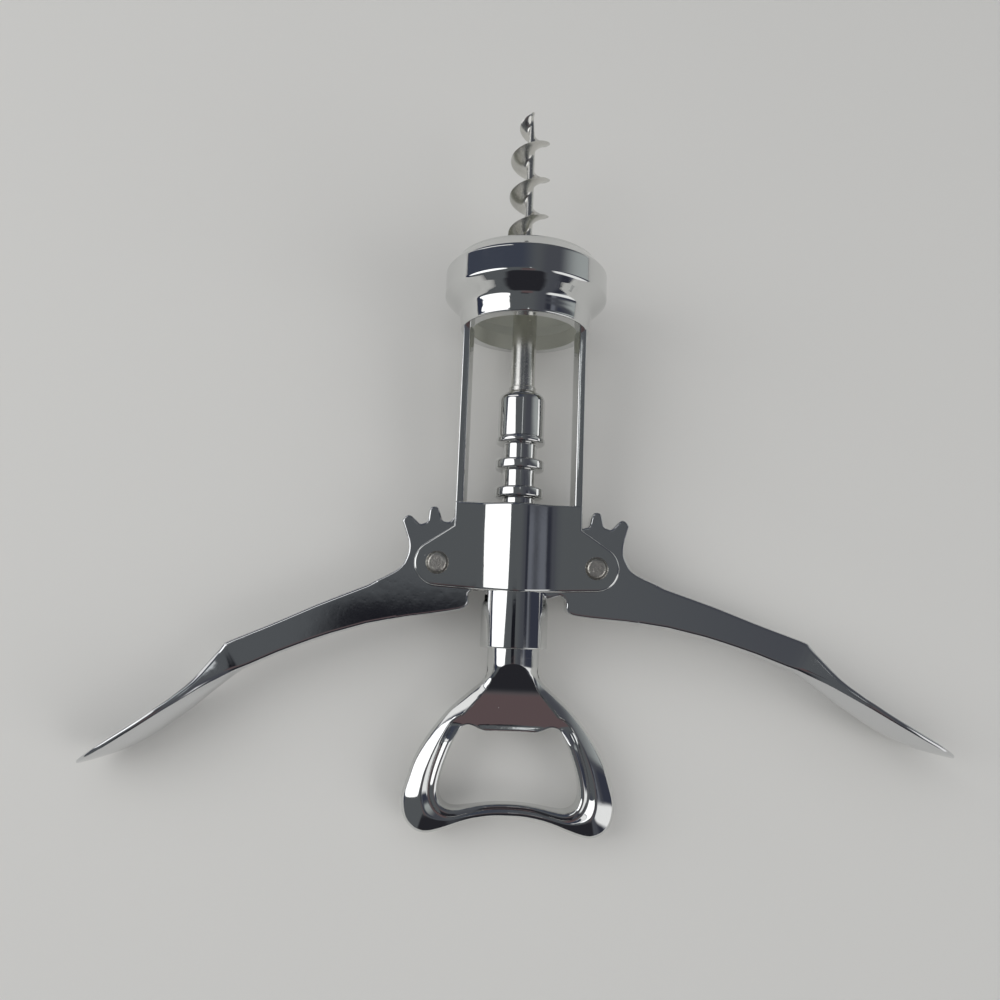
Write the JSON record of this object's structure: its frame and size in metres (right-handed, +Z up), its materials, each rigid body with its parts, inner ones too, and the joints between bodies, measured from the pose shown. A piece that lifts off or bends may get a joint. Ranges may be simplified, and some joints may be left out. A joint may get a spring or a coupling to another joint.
{
  "type": "wing corkscrew",
  "caption": "Two-winged lever corkscrew with a ring rack, an open flanged worm, a bottle bell and a cap-lifter handle, lying on its back with the wings spread.",
  "frame": {"origin": "centre of the bounding box, on the surface that the tool lies on", "axes": "+X from the left wing to the right wing, +Y from the handle to the worm's point, +Z up; the tool's own axis rises 6.42 degrees towards the worm"},
  "size_m": [0.1927, 0.1683, 0.0386],
  "materials": {
    "cast_chrome": "polished chrome plate over a zinc casting",
    "wing_chrome": "polished chrome plate, slightly worn",
    "rack_chrome": "chrome plate over turned steel",
    "worm_steel": "dull nickel-plated steel",
    "pin_steel": "bare steel, staked ends"
  },
  "bodies": {
    "frame": {"frame_casting": "cast_chrome", "left_pivot_pin": "pin_steel", "right_pivot_pin": "pin_steel"},
    "rack": {"rack_sleeve": "rack_chrome"},
    "screw": {"opener_handle": "cast_chrome", "worm": "worm_steel", "stop_collar": "rack_chrome", "cross_pin": "pin_steel"},
    "left_wing": {"left_wing": "wing_chrome"},
    "right_wing": {"right_wing": "wing_chrome"}
  },
  "joints": [
    {"name": "rack_slide", "type": "slide", "parent": "frame", "child": "rack", "axis": [0, 0.9937, 0.1119], "range_m": [-0.0232, 0.0056]},
    {"name": "handle_spin", "type": "hinge", "parent": "rack", "child": "screw", "pos_m": [-0.00211, -0.02648, 0.01175], "axis": [0, 0.9937, 0.1119], "continuous": true},
    {"name": "left_wing_pivot", "type": "hinge", "parent": "frame", "child": "left_wing", "pos_m": [-0.01971, -0.02648, 0.01175], "axis": [0, -0.1119, 0.9937], "range_deg": [-109, 26.5]},
    {"name": "right_wing_pivot", "type": "hinge", "parent": "frame", "child": "right_wing", "pos_m": [0.01549, -0.02648, 0.01175], "axis": [0, -0.1119, 0.9937], "range_deg": [-26.5, 109]}
  ],
  "couplings": [
    {"joint": "left_wing_pivot", "follows": "rack_slide", "rad_per_m": 81.812},
    {"joint": "right_wing_pivot", "follows": "rack_slide", "rad_per_m": -81.812}
  ]
}
